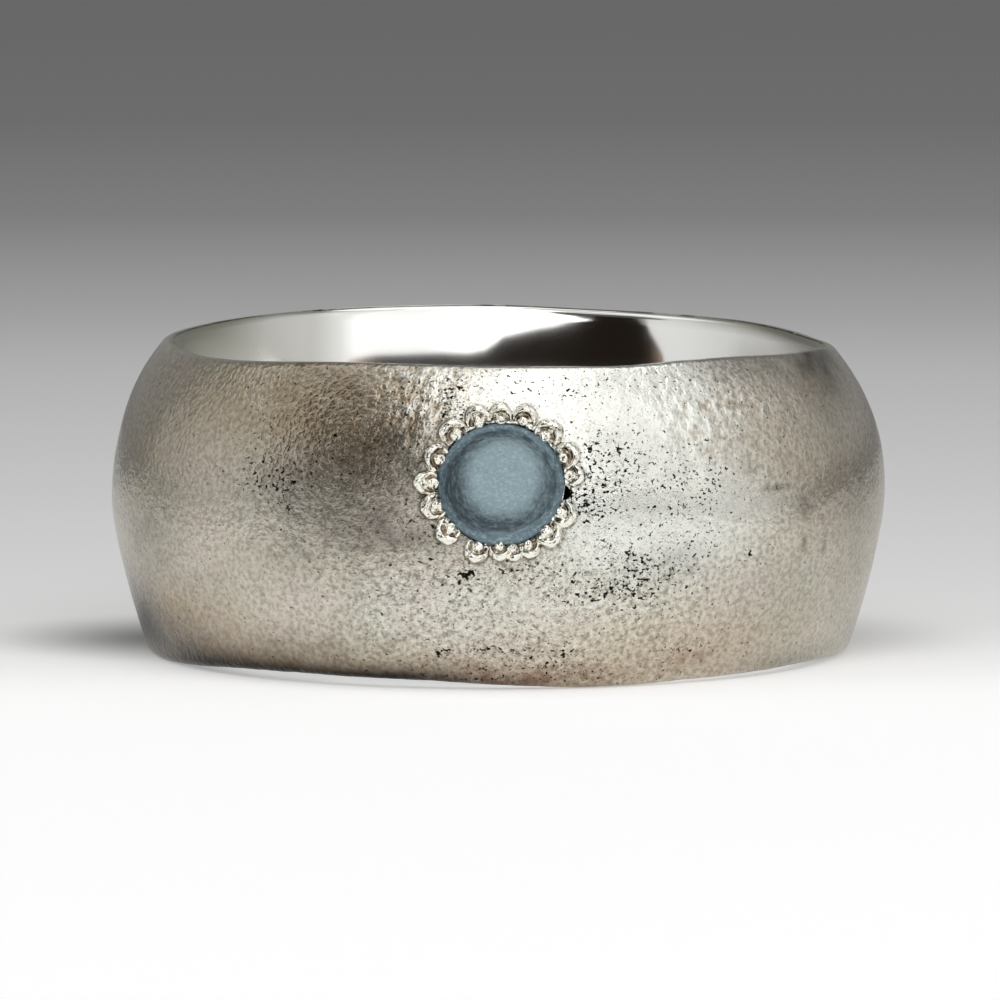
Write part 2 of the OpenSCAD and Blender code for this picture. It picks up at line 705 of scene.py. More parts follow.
        # Brown tarnish, which near the lower edge and left of the glass is also painted shade
        brown = board.times(board.attribute("tarnish_and_shade"), board.line(cloud, *self.brown_cloud))
        brown = board.line(stroke, self.brown_stroke, brown)
        dirty = board.times(board.rise(relief, *self.hollows), strong)
        dirty = board.times(dirty, board.line(rubbed, *self.hollow_wear))
        fleck = board.times(strong, board.line(rubbed, *self.fleck_wear))
        fleck = board.times(board.rise(tiny, *self.fleck_edge), fleck)
        crack = board.times(self.cracks(board, flat, cloud), board.times(crisp, self.crack_strength))
        rusty = board.line(board.rise(cloud, *self.rust_cloud), *self.rust_strength)
        rusty = board.times(board.attribute("rust"), rusty)
        sand = rgba(self.sand_pink), rgba(self.sand_green)
        colour = board.blend(board.rise(hue, *self.hue_turn), *sand)
        for share, over in (
            (rubbed, self.clean), (brown, self.tarnish_and_shade), (tip, self.clean), (rusty, self.rust),
            (dirty, self.hollow), (board.most(fleck, crack), self.hollow),
        ):
            colour = board.blend(share, colour, rgba(over))
        return colour


@dataclass(frozen=True)
class SeatShadow:
    """The silver down inside the seat, beside the glass, painted nearly black as shade in the recess.
    """

    name: str = "seat_shadow"
    colour: Colour = (0.02, 0.017, 0.014)
    roughness: float = 0.6
    soot_and_shade: Pattern = Pattern(0.12 * MM)

    def build(self) -> bpy.types.Material:
        """Builds the nodes.

        Returns:
            The material.
        """
        material, board, shader = new_material(self.name)
        black = board.blend(board.speckle(board.places(), self.soot_and_shade), rgba(self.colour), rgba(BLACK))
        board.feed(shader, {"Base Color": black, "Metallic": 1.0, "Roughness": self.roughness})
        return material


@dataclass(frozen=True)
class BurnishedSilver:
    """Silver rubbed bright by the tool that raised the grains, with its rings and brown soil."""

    name: str = "burnished_silver"
    bright: Colour = (0.93, 0.91, 0.82)
    groove: Colour = (0.16, 0.11, 0.065)
    roughness: float = 0.1
    ring_gap: float = 0.42
    ring_wander: float = 0.4
    ring_height: float = 0.3
    ring_soil: float = -0.35
    groove_soil: float = 0.7
    soil: Pattern = Pattern(0.2 * MM, 3.0, 0.6)
    soil_spread: Line = (3.0, -1.5)
    soil_edge: Range = (0.1, 0.6)
    soil_strength: float = 0.9
    dents: Pattern = Pattern(0.19 * MM, 1.0)
    depth: float = 0.07 * MM

    def build(self) -> bpy.types.Material:
        """Builds the nodes.

        Returns:
            The material.
        """
        material, board, shader = new_material(self.name)
        places = board.places()
        dents = board.speckle(places, self.dents)
        wander = board.line(dents, self.ring_wander, board.attribute("away"))
        rings = board.math("SINE", board.times(wander, 2.0 * math.pi / self.ring_gap))
        rings = board.line(rings, 0.5, 0.5)
        soiled = board.line(board.speckle(places, self.soil), *self.soil_spread)
        soiled = board.line(board.attribute("groove"), self.groove_soil, soiled)
        soiled = board.line(rings, self.ring_soil, soiled)
        dark = board.times(board.rise(soiled, *self.soil_edge), self.soil_strength)
        height = board.line(rings, self.ring_height, dents)
        board.feed(shader, {
            "Base Color": board.blend(dark, rgba(self.bright), rgba(self.groove)),
            "Metallic": 1.0, "Roughness": self.roughness, "Normal": board.bumps(height, self.depth)})
        return material


@dataclass(frozen=True)
class FrostedGlass:
    """Blue-grey sea glass, worn matt, with painted shade where its dome bends down."""

    name: str = "frosted_sea_glass"
    crown: Colour = (0.36, 0.505, 0.555)
    # The colour of the painted shade on the shoulder
    shoulder: Colour = (0.045, 0.075, 0.095)
    skirt: Colour = (0.195, 0.295, 0.35)
    chalk: Colour = (0.60, 0.73, 0.775)
    roughness: float = 0.5
    ior: float = 1.5
    flatness: float = 1.35
    wear: Pattern = Pattern(0.11 * MM, 3.0, 0.7)
    wrinkles: Pattern = Pattern(0.34 * MM, 4.0, 0.68, 0.3)
    streak_contrast: float = 4.0
    streak_middle: float = 2.5
    shoulder_streaks: float = 0.65
    skirt_streaks: float = 0.3
    chalk_edge: Range = (0.44, 0.68)
    chalk_strength: float = 0.62
    shade_edge: Range = (-0.05, 1.1)
    shade_strength: float = 0.95
    wrinkle_height: float = 2.0
    depth: float = 0.16 * MM

    def build(self) -> bpy.types.Material:
        """Builds the nodes.

        Returns:
            The material.
        """
        material, board, shader = new_material(self.name)
        wear = board.speckle(board.stretched(board.places(), self.flatness), self.wear)
        wrinkle = board.speckle(board.attribute("wound", "Vector"), self.wrinkles)
        shade = board.attribute("shoulder")
        skirt = board.attribute("skirt")
        streak = board.math("SUBTRACT", wear, self.streak_middle)
        streak = board.line(wrinkle, self.streak_contrast, streak)
        ring = board.line(shade, self.shoulder_streaks, board.times(skirt, self.skirt_streaks))
        shoulder = board.line(streak, ring, shade)
        colour = board.blend(skirt, rgba(self.crown), rgba(self.skirt))
        chalky = board.times(board.rise(wear, *self.chalk_edge), self.chalk_strength)
        colour = board.blend(chalky, colour, rgba(self.chalk))
        # Painted shade on the shoulder and the outer edge, streaked by the wrinkles
        dark = board.times(board.rise(shoulder, *self.shade_edge), self.shade_strength)
        height = board.line(board.times(wrinkle, shade), self.wrinkle_height, wear)
        board.feed(shader, {
            "Base Color": board.blend(dark, colour, rgba(self.shoulder)),
            "Roughness": self.roughness, "IOR": self.ior, "Normal": board.bumps(height, self.depth)})
        return material


# The band


@dataclass
class Section:
    """The band's section, close to the CAD's: outer curves, eased rims and a straight hole."""

    hole_r: float
    widest_r: float
    top_z: float
    bottom_z: float
    widest_z: float = 0.3 * MM
    upper_r: float = 6.25 * MM
    join_angle: float = math.radians(-12.0)
    lower_r: float = 21.6 * MM
    foot_t: float = 1.16 * MM
    outer_round: float = 0.3 * MM
    inner_round: float = 0.2 * MM
    outer_step: float = 0.085 * MM
    round_step: float = 0.05 * MM
    inner_step: float = 0.2 * MM
    arc_points: int = 3
    straight_points: int = 2

    def arc(self, centre: np.ndarray, radius: float, start: float, end: float,
            step: float) -> np.ndarray:
        """Points along an arc, its end left out.

        Args:
            centre: The arc's centre, [distance from the axis, height].
            radius: Its radius.
            start: The angle it starts at, in radians.
            end: The angle it ends at.
            step: Distance between two points.

        Returns:
            The points, one row each.
        """
        count = max(self.arc_points, round(abs(end - start) * radius / step))
        angles = np.linspace(start, end, count, endpoint=False)
        return centre + radius * np.stack([np.cos(angles), np.sin(angles)], axis=1)

    def straight(self, start: Sequence[float], end: Sequence[float], step: float) -> np.ndarray:
        """Points along a straight stretch, its end left out.

        Args:
            start: Where it starts.
            end: Where it ends.
            step: Distance between two points.

        Returns:
            The points, one row each.
        """
        count = max(self.straight_points, round(math.dist(start, end) / step))
        share = np.linspace(0.0, 1.0, count, endpoint=False)[:, None]
        return np.array(start) * (1.0 - share) + np.array(end) * share

    def corner(self, centre: np.ndarray, radius: float, height: float) -> np.ndarray:
        """The centre, at a height, of an outer rounding inside an outer curve."""
        across = math.sqrt((radius - self.outer_round) ** 2 - (height - centre[1]) ** 2)
        return np.array([centre[0] + across, height])

    def points(self) -> np.ndarray:
        """The whole closed section, from the top rim down the outside and back up the hole.

        Returns:
            Its points in order, one row each.
        """
        upper = np.array([self.widest_r - self.upper_r, self.widest_z])
        bend = self.join_angle
        join = upper + self.upper_r * np.array([math.cos(bend), math.sin(bend)])
        foot = np.array([self.hole_r + self.foot_t, self.bottom_z])
        chord = join - foot
        length = np.linalg.norm(chord)
        inwards = np.array([-chord[1], chord[0]]) / length
        lower = (join + foot) / 2.0 + inwards * math.sqrt(self.lower_r**2 - (length / 2.0) ** 2)
        top_corner = self.corner(upper, self.upper_r, self.top_z - self.outer_round)
        low_corner = self.corner(lower, self.lower_r, self.bottom_z + self.outer_round)
        quarter = math.pi / 2.0
        top_meet = math.atan2(*(top_corner - upper)[::-1])
        low_meet = math.atan2(*(low_corner - lower)[::-1])
        join_angle = math.atan2(*(join - lower)[::-1])
        inner_top = np.array([self.hole_r + self.inner_round, self.top_z - self.inner_round])
        inner_low = np.array([self.hole_r + self.inner_round, self.bottom_z + self.inner_round])
        return np.concatenate([
            self.arc(top_corner, self.outer_round, quarter, top_meet, self.round_step),
            self.arc(upper, self.upper_r, top_meet, bend, self.outer_step),
            self.arc(lower, self.lower_r, join_angle, low_meet, self.outer_step),
            self.arc(low_corner, self.outer_round, low_meet, -quarter, self.round_step),
            self.straight((low_corner[0], self.bottom_z), (inner_low[0], self.bottom_z),
                          self.inner_step),
            self.arc(inner_low, self.inner_round, -quarter, -2.0 * quarter, self.round_step),
            self.straight((self.hole_r, inner_low[1]), (self.hole_r, inner_top[1]),
                          self.inner_step),
            self.arc(inner_top, self.inner_round, 2.0 * quarter, quarter, self.round_step),
            self.straight((inner_top[0], self.top_z), (top_corner[0], self.top_z), self.inner_step),
        ])


@dataclass
class Band:
    """The silver band: the CAD's section, forged uneven, with the seat cut for the glass."""

    section: Section
    seat: Seat
    feet: Sequence[Foot]
    finish: SandedSilver = field(default_factory=SandedSilver)
    seat_finish: SeatShadow = field(default_factory=SeatShadow)

    # Columns round the ring, in degrees
    fine_angle: float = 78.0
    fine_step: float = 0.45
    coarse_step: float = 1.6

    # The drilled hole, which the glass fills, and the small void beside it
    hole_radius: float = 1.76 * MM
    hole_oval: float = 0.965
    void_angle: float = math.radians(-8.0)
    void_radius: float = 0.22 * MM
    void_place: float = 1.71 * MM
    seeds: tuple[float, float] = (1.0, 2.0)
    cut_depths: tuple[float, float] = (-1.04 * MM, 1.0 * MM)
    cut_sides: int = 96
    wobble: float = 0.012
    wobble_turn: float = 4.0

    # How the finger hole opens toward the top rim
    flare: float = 0.35 * MM
    flare_z: float = 1.2 * MM

    # The forging's depths in mm, and how far from the glass its waves start
    wave: Unevenness = Unevenness(0.035, 4.5 * MM, 3.0)
    ripple: Unevenness = Unevenness(0.012, 1.3 * MM, 8.0, 2)
    marks: Unevenness = Unevenness(1.0, 0.42 * MM, 12.0, 2)
    mark_depth: float = 0.007
    lumpy_depth: float = 0.016
    calm_ring: Range = (1.6 * MM, 3.0 * MM)
    front: float = 90.0

    # Distances from the finger hole at which the outside, the inside and the polish start
    outside: Range = (0.3 * MM, 1.0 * MM)
    inside: Range = (0.45 * MM, 0.22 * MM)
    polished: Range = (0.72 * MM, 0.52 * MM)
    rim_share: float = 0.2

    # Limits of the painted marks: the rim's dull edge with its painted shade, the soot and painted
    # shade, and the dark line at the grains' feet
    most: float = 2.0
    densest: float = 0.95
    rim_edge: Range = (-0.38 * MM, -0.10 * MM)
    rim_start: Range = (60.0, 80.0)
    rim_end: Range = (118.0, 150.0)
    rim_fade: float = 0.85
    soot_and_shade_patches: Unevenness = Unevenness(0.5, 0.6 * MM, 15.0, 2)
    faint: float = 0.05
    foot_width: float = 0.05 * MM
    foot_depth: float = -1.5 * MM
    foot_strength: float = 0.5
    foot_patches: Unevenness = Unevenness(1.0, 0.35 * MM, 21.0)
    foot_gaps: Range = (-0.5, 0.4)

    top_rim: RimLine = RimLine((
        (-180, 0.24), (-166, 0.24), (-152, 0.24), (-140, 0.22), (-128, 0.18), (-110, 0.1),
        (-90, 0.06), (-76, -0.04), (-64, -0.1), (-50, -0.05), (-40, 0.03), (-29, 0.12), (-15, 0.13),
        (0, 0.08), (15, 0.06), (23, 0.02), (29, 0.11), (38, 0.12), (46, 0.12), (58, 0.03), (72, 0.0),
        (90, -0.12), (106, -0.16), (117, -0.06), (130, 0.05), (147, 0.1), (165, 0.15),
    ))
    low_rim: RimLine = RimLine((
        (-170, 0.04), (-150, 0.08), (-120, 0.0), (-90, 0.0), (-76, 0.0), (-66, 0.02), (-53, 0.16),
        (-43, 0.22), (-30, 0.25), (-15, 0.23), (-6, 0.17), (0, 0.12), (6, 0.08), (13, 0.02),
        (20, 0.03), (30, 0.09), (40, 0.11), (55, 0.15), (68, 0.14), (80, 0.05), (95, 0.0),
        (130, 0.06), (160, 0.0),
    ))
    dents: tuple[Spot, ...] = spots(
        (-90, 1.7, 2.5, 1.2, -0.05), (29, 2.2, 0.35, 0.9, -0.03), (-5.3, -1.1, 0.16, 0.12, -0.08),
        (19.3, -0.5, 0.12, 0.19, -0.07), (39.6, -0.8, 0.1, 0.1, -0.06),
        (5.2, -0.60, 0.2, 0.08, -0.06), (-3.6, -0.72, 0.13, 0.10, 0.07),
        (0.6, -1.15, 0.16, 0.08, 0.06), (5.6, -0.80, 0.16, 0.07, 0.06),
    )
    cleaned: tuple[Spot, ...] = spots(
        (6, 3.7, 2.7, 1.5, 1.0), (17, 2.6, 3.0, 1.9, 0.78), (26, 1.0, 3.0, 1.6, 0.7),
        (24, 0.7, 3.6, 0.5, 0.35), (28, -0.4, 2.6, 1.1, 0.5), (26, 4.2, 2.4, 0.5, 0.6),
        (21, 4.25, 1.8, 0.4, 0.8), (33, 3.3, 1.2, 0.8, 0.3), (29, 1.0, 1.8, 0.5, 0.6),
        (14, -3.3, 1.2, 0.5, 0.3), (43, 0.4, 1.3, 0.5, 0.3), (0, 2.0, 1.6, 1.6, 0.45),
        (14, -0.2, 1.2, 0.8, 0.5), (-10.2, 4.3, 0.35, 0.4, 0.6), (-11.4, 3.85, 0.35, 0.4, 0.6),
        (-12.8, 3.4, 0.35, 0.4, 0.55), (-16.6, 4.2, 0.3, 0.4, 0.45), (-17.8, 3.75, 0.3, 0.4, 0.5),
        (-12, 3.0, 1.3, 0.8, 0.25), (-2, -2.2, 3.2, 1.3, 0.45), (16, -2.2, 2.4, 1.1, 0.3),
        (180, 4.6, 16.0, 0.45, 1.3), (130, 4.5, 5.0, 0.45, 0.9), (-130, 4.5, 5.0, 0.45, 0.9),
    )
    pitted: tuple[Spot, ...] = spots(
        (12.5, 1.15, 0.5, 0.28, 0.7), (14, 1.5, 1.3, 1.2, 0.5), (13, 0.6, 0.7, 0.2, 0.45),
        (14, 2.3, 0.5, 0.35, 0.4), (20, 2.2, 0.5, 0.3, 0.45), (26, 1.6, 1.0, 0.7, 0.35),
        (33, 1.4, 0.8, 0.6, 0.35), (28, 0.5, 0.9, 0.7, 0.35), (31, -0.3, 0.5, 0.4, 0.4),
        (22, -1.0, 1.3, 0.55, 0.65), (15, -1.6, 0.9, 0.4, 0.7), (23, -1.8, 0.9, 0.4, 0.45),
        (10, -3.35, 0.42, 0.2, 1.0), (-0.5, -3.25, 0.8, 0.12, 0.75), (-7.5, 4.0, 0.45, 0.4, 0.85),
        (-7.5, 3.3, 0.5, 0.2, 0.8), (-14.5, 3.8, 0.5, 0.5, 0.5), (3, 4.0, 1.1, 0.35, 0.45),
        (12, 3.9, 1.0, 0.3, 0.25), (30, 4.0, 1.0, 0.4, 0.35), (-11, 1.3, 0.8, 2.4, 0.4),
        (2, -1.0, 1.4, 0.4, 0.5), (-6, -1.2, 0.7, 0.4, 0.35), (-34, 1.2, 1.2, 0.6, 0.5),
        (-36, 2.0, 2.6, 1.5, 0.3), (-9, -3.3, 0.35, 0.18, 0.95), (28, -3.5, 0.8, 0.25, 0.5),
        (-8, -4.1, 4.0, 0.25, 0.45), (6, -3.7, 2.6, 0.3, 0.2), (8, 0.0, 6.0, 4.5, 0.22),
    )
    holes: tuple[Spot, ...] = spots(
        (-5.5, -1.1, 0.1, 0.07, 3.0), (-4.6, -1.05, 0.08, 0.1, 2.0), (19.5, -0.4, 0.09, 0.08, 2.5),
        (18.9, -0.62, 0.1, 0.06, 2.0), (39.6, -0.8, 0.08, 0.08, 3.0), (-25.5, 2.6, 0.06, 0.06, 3.0),
        (-32.0, 0.55, 0.05, 0.05, 3.0), (-34.5, 1.1, 0.05, 0.05, 3.0),
    )
    # Brown tarnish; near the lower edge and left of the glass it is also painted shade
    tarnish_and_shade_spots: tuple[Spot, ...] = spots(
        (-35, 3.6, 4.4, 1.6, 0.9), (-20, 2.4, 2.4, 1.5, 0.65), (-18, -0.3, 1.8, 0.9, 0.2),
        (-62, 1.5, 3.5, 2.6, 0.42), (-34, -0.9, 2.4, 0.9, 0.2), (-35, -4.0, 6.0, 0.9, 0.85),
        (-60, -2.8, 3.2, 1.0, 0.8), (2, -4.2, 4.6, 0.6, 0.6), (10, -2.6, 2.8, 0.8, 0.25),
        (18, -3.4, 4.0, 0.7, 0.2), (36, -3.3, 4.5, 1.2, 0.5), (50, 1.5, 3.0, 2.4, 0.45),
        (66, 4.0, 1.8, 1.0, 0.5), (78, -1.0, 3.0, 3.0, 0.4), (160, -1.0, 12.0, 2.8, 0.5),
        (-140, -1.5, 8.0, 3.0, 0.55),
    )
    # Soot and small smudges, and painted shade on wider patches beside the glass and near the top rim
    soot_and_shade_spots: tuple[Spot, ...] = spots(
        (-18, 1.9, 2.0, 1.2, 0.32), (-15.5, 2.6, 1.0, 0.9, 0.24), (-29, 1.0, 1.8, 0.9, 0.27),
        (-31, 4.1, 2.4, 0.6, 0.3), (-31, 3.2, 1.6, 0.6, 0.08), (-16, 0.0, 1.8, 0.55, 0.46),
        (-32, -0.7, 1.9, 0.8, 0.18), (-31, 0.35, 0.45, 0.1, 0.15), (-24, -1.9, 3.2, 1.0, 0.08),
        (-65, -0.7, 1.5, 1.0, 0.3), (-50, -1.8, 1.8, 0.9, 0.13), (-30, -3.3, 2.4, 0.6, 0.22),
        (-13, -4.0, 1.6, 0.4, 0.22), (-62, -3.4, 2.2, 0.9, 0.24), (18, 2.5, 1.3, 0.45, 0.14),
        (22, 1.8, 1.4, 0.5, 0.16), (29, -0.6, 1.8, 0.5, 0.15), (24, -1.1, 1.5, 0.5, 0.2),
        (46, -1.5, 2.4, 0.9, 0.13), (50, -2.7, 2.4, 0.9, 0.12), (45, 4.3, 2.2, 0.5, 0.3),
        (68, 4.3, 2.2, 0.6, 0.68), (66, -0.1, 2.0, 1.0, 0.22), (66, -1.8, 2.0, 0.8, 0.12),
        (66, 0.95, 1.6, 0.4, 0.12), (67, 3.5, 2.0, 0.6, 0.24), (50.5, 0.45, 0.35, 0.35, 0.35),
        (50.5, -0.62, 0.12, 0.25, 0.5), (56, -0.75, 0.1, 0.3, 0.45), (45, 1.0, 0.7, 0.06, 0.45),
        (39, 1.5, 0.3, 0.25, 0.2), (-55, 0.85, 0.08, 0.07, 0.4), (-60.5, 0.3, 0.08, 0.07, 0.35),
        (-44, 0.87, 0.07, 0.06, 0.4), (-37.5, 0.7, 0.06, 0.05, 0.5), (-42, -1.75, 0.06, 0.05, 0.45),
        (-44, -1.65, 0.05, 0.05, 0.4), (-38, -1.9, 0.06, 0.05, 0.5), (-30.5, -0.45, 0.35, 0.1, 0.3),
        (-29, -0.75, 0.3, 0.12, 0.3), (-20.3, -0.45, 0.5, 0.1, 0.3),
    )
    # Painted shade along the lower edge, measured up from the lower rim
    shaded: tuple[Spot, ...] = spots(
        (-60, -4.5, 3.3, 0.9, 0.75), (-40, -4.4, 3.0, 0.6, 0.5), (-18, -4.4, 4.0, 0.34, 0.8),
        (55, -4.4, 3.0, 0.6, 0.4), (-78, -3.2, 2.0, 1.2, 0.75),
    )
    rusted: tuple[Spot, ...] = spots(
        (4, -4.0, 3.0, 0.32, 0.8), (30, -3.7, 1.3, 0.3, 0.7), (-13, -4.1, 3.4, 0.38, 1.1),
        (-45, -4.0, 2.0, 0.25, 0.6),
    )
    lumpy: tuple[Spot, ...] = spots(
        (29, 3.4, 1.7, 1.3, 0.65), (42, 3.2, 2.0, 1.4, 0.5), (-15, 3.7, 1.4, 0.9, 1.0),
        (-11, 2.0, 0.9, 1.6, 0.5),
    )
    crisp: tuple[Spot, ...] = spots(
        (2, 0.0, 5.0, 9.0, 1.0), (-30, 1.0, 2.5, 1.6, 0.25),
    )
    calm: tuple[Spot, ...] = spots(
        (62, 1.4, 4.4, 4.0, 0.68), (98, 0.5, 3.0, 4.0, 0.5), (-64, 1.6, 4.0, 3.6, 0.5),
        (-96, 0.5, 3.0, 4.0, 0.5), (-18, 1.6, 2.4, 1.4, 0.3),
    )

    def columns(self) -> np.ndarray:
        """Spaces the band's points round the ring, close together near the glass.

        Returns:
            The angles, in degrees from the glass.
        """
        fine = np.arange(-self.fine_angle, self.fine_angle, self.fine_step)
        rest = 360.0 - 2.0 * self.fine_angle
        count = round(rest / self.coarse_step)
        coarse = self.fine_angle + np.arange(count) * rest / count
        return np.concatenate([fine, coarse])

    def marked(self, patches: Sequence[Spot], degrees: np.ndarray, heights: np.ndarray) -> np.ndarray:
        """The sum of several patches, whose reaches are measured at the band's widest line."""
        return painted(patches, degrees, heights, self.section.widest_r)

    def beyond_hole(self, limits: Range, distance: np.ndarray) -> np.ndarray:
        """A rise between two distances outside the finger hole."""
        low, high = limits
        return smoothstep(self.section.hole_r + low, self.section.hole_r + high, distance)

    def forged(self, points: np.ndarray, degrees: np.ndarray) -> np.ndarray:
        """How far the outside stands out from the CAD's section.

        Args:
            points: Places on the section's outside, in metres.
            degrees: Their angles from the glass.

        Returns:
            The distance at each place, in metres.
        """
        heights = points[:, 2]
        waves = self.wave.at(points) + self.ripple.at(points)
        from_glass = np.linalg.norm(self.seat.locate(points)[:, :2], axis=1)
        calm = np.where(np.abs(degrees) < self.front, smoothstep(*self.calm_ring, from_glass), 1.0)
        dents = self.marked(self.dents, degrees, heights)
        rough = self.mark_depth + self.lumpy_depth * self.marked(self.lumpy, degrees, heights)
        return (waves * calm + (dents + rough * self.marks.at(points))) * MM

    def surface(self) -> bpy.types.Mesh:
        """The whole band as one closed mesh, before the seat is cut.

        Returns:
            The mesh.
        """
        section = self.section
        outline = section.points()
        columns = self.columns()
        tangent = np.roll(outline, -1, axis=0) - np.roll(outline, 1, axis=0)
        normal = np.stack([-tangent[:, 1], tangent[:, 0]], axis=1)
        normal /= np.linalg.norm(normal, axis=1, keepdims=True)
        distance, height = np.repeat(outline, len(columns), axis=0).T
        outwards, upwards = np.repeat(normal, len(columns), axis=0).T
        angle = np.tile(np.radians(columns), len(outline))
        degrees = np.degrees(angle)
        lift = self.forged(ring_places(distance, angle, height), degrees)
        lift = lift * self.beyond_hole(self.outside, distance)
        distance = distance + lift * outwards
        height = height + lift * upwards
        distance = distance + self.opening(height) * self.beyond_hole(self.inside, distance)
        near_top = smoothstep(self.rim_share * section.top_z, section.top_z, height)
        near_low = smoothstep(self.rim_share * section.bottom_z, section.bottom_z, height)
        height = height + near_top * self.top_rim.at(degrees)
        height = height + near_low * self.low_rim.at(degrees)
        height = np.maximum(height, section.bottom_z)
        faces = grid_faces(len(outline), len(columns), True)
        mesh = mesh_from("band", ring_places(distance, angle, height), faces)
        face_outwards(mesh)
        return mesh

    def opening(self, height: np.ndarray) -> np.ndarray:
        """How far the hole's wall stands back from its straight bore, near the top rim."""
        share = np.clip((height - self.flare_z) / (self.section.top_z - self.flare_z), 0.0, 1.0)
        return self.flare * share**2

    def drill(self, work: bmesh.types.BMesh, radius: float, middle: Vector, seed: float) -> None:
        """Adds the shape of one slightly uneven drilled hole.

        Args:
            work: What the shape is added to.
            radius: The hole's radius.
            middle: Its middle on the seat's flat.
            seed: Moves the noise of its wall.
        """
        rings = []
        for depth in self.cut_depths:
            ring = []
            for k in range(self.cut_sides):
                turn = 2.0 * math.pi * k / self.cut_sides
                x, y = math.cos(turn), math.sin(turn)
                wall = noise.noise(Vector((self.wobble_turn * x, self.wobble_turn * y, seed)))
                reach = radius * (1.0 + self.wobble * wall)
                at = Vector((middle.x + reach * x, self.hole_oval * (middle.y + reach * y), depth))
                ring.append(work.verts.new(self.seat.matrix @ at))
            rings.append(ring)
        low, high = rings
        for k in range(self.cut_sides):
            after = (k + 1) % self.cut_sides
            work.faces.new((low[k], low[after], high[after], high[k]))
        work.faces.new(list(reversed(low)))
        work.faces.new(high)

    def cutter(self) -> bpy.types.Object:
        """What is cut out for the glass: the hole that it fills, and the small void beside it.

        Returns:
            The shape of both, as one object.
        """
        void = self.void_place * Vector((math.cos(self.void_angle), math.sin(self.void_angle)))
        work = bmesh.new()
        self.drill(work, self.hole_radius, Vector((0.0, 0.0)), self.seeds[0])
        self.drill(work, self.void_radius, void, self.seeds[1])
        mesh = bpy.data.meshes.new("seat_cutter")
        work.to_mesh(mesh)
        work.free()
        return new_object("seat_cutter", mesh, self.seat_finish.build())

    def cut(self, mesh: bpy.types.Mesh) -> bpy.types.Mesh:
        """Cuts the seat out of the band's mesh.

        Args:
            mesh: The whole band.

        Returns:
            The band with its seat.
        """
        whole = new_object("whole_band", mesh, self.finish.build())
        cutter = self.cutter()
        modifier = whole.modifiers.new("seat", "BOOLEAN")
        modifier.operation = "DIFFERENCE"
        modifier.object = cutter
        modifier.solver = "MANIFOLD"
        modifier.material_mode = "TRANSFER"
        made = settled(whole)
        bpy.data.objects.remove(cutter)
        made.name = "band_silver"
        return made

    def dress(self, mesh: bpy.types.Mesh) -> None:
        """Paints the marks that the finish reads on the band's points, painted shade among them.

        Args:
            mesh: The band with its seat.
        """
        points = np.empty(len(mesh.vertices) * 3)
        mesh.vertices.foreach_get("co", points)
        points = points.reshape(-1, 3)
        x, y, heights = points.T
        distance = np.hypot(x, y)
        degrees = np.degrees(np.arctan2(x, -y))
        from_edge = heights - self.low_rim.at(degrees)
        over = heights - self.top_rim.at(degrees) - self.section.top_z
        turned = np.abs(degrees)
        # The hole's rim, where the finish lays painted olive shade and blunts the polish
        rim = smoothstep(*self.rim_edge, over) * smoothstep(*self.rim_start, turned)
        rim *= 1.0 - self.rim_fade * smoothstep(*self.rim_end, turned)
        layers = {
            name: self.marked(patches, degrees, heights)
            for name, patches in (
                ("clean", self.cleaned), ("crisp", self.crisp), ("pitting", self.pitted),
                ("holes", self.holes), ("tarnish_and_shade", self.tarnish_and_shade_spots), ("rust", self.rusted),
                ("lumpy", self.lumpy), ("calm", self.calm), ("soot_and_shade", self.soot_and_shade_spots),
            )
        }
        layers["pitting"] = np.minimum(layers["pitting"], self.densest) + layers.pop("holes")
        # Soot, with its painted shade, in patches
        soot_and_shade = layers.pop("soot_and_shade")
        soot_and_shade *= 1.0 + self.soot_and_shade_patches.where(soot_and_shade > self.faint, points)
        # The painted shade along the lower edge joins the foot lines and the soot with its painted
        # shade
        shaded = self.marked(self.shaded, degrees, from_edge)
        layers["grime_and_shade"] = self.grime_and_shade(points) + shaded + soot_and_shade
        layers["polish"] = self.beyond_hole(self.polished, distance)
        layers["rim"] = rim
        paint(mesh, {name: np.clip(values, 0.0, self.most) for name, values in layers.items()})

    def grime_and_shade(self, points: np.ndarray) -> np.ndarray:
        """The dark line round the foot of each grain.

        Args:
            points: Places on the band, one row each.

        Returns:
            How dark each place is, from 0 to about 1.
        """
        across, up, out = self.seat.locate(points).T
        near = np.where(out > self.foot_depth, 1.0, 0.0)
        total = np.zeros(len(points))
        for middle, reach in self.feet:
            away = np.hypot(across - middle[0], up - middle[1])
            total = np.maximum(total, np.exp(-(((away - reach) / self.foot_width) ** 2)))
        close = total > self.faint
        patchy = smoothstep(*self.foot_gaps, self.foot_patches.where(close, points))
        return self.foot_strength * total * near * np.where(close, patchy, 0.0)

    def build(self) -> bpy.types.Object:
        """Builds the finished band, which stands for the CAD's.

        Returns:
            The band.
        """
        mesh = self.cut(self.surface())
        self.dress(mesh)
        mesh.shade_smooth()
        made = new_object("band_silver", mesh)
        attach(made, BODY)
        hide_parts("band")
        return made


# The glass and its grains


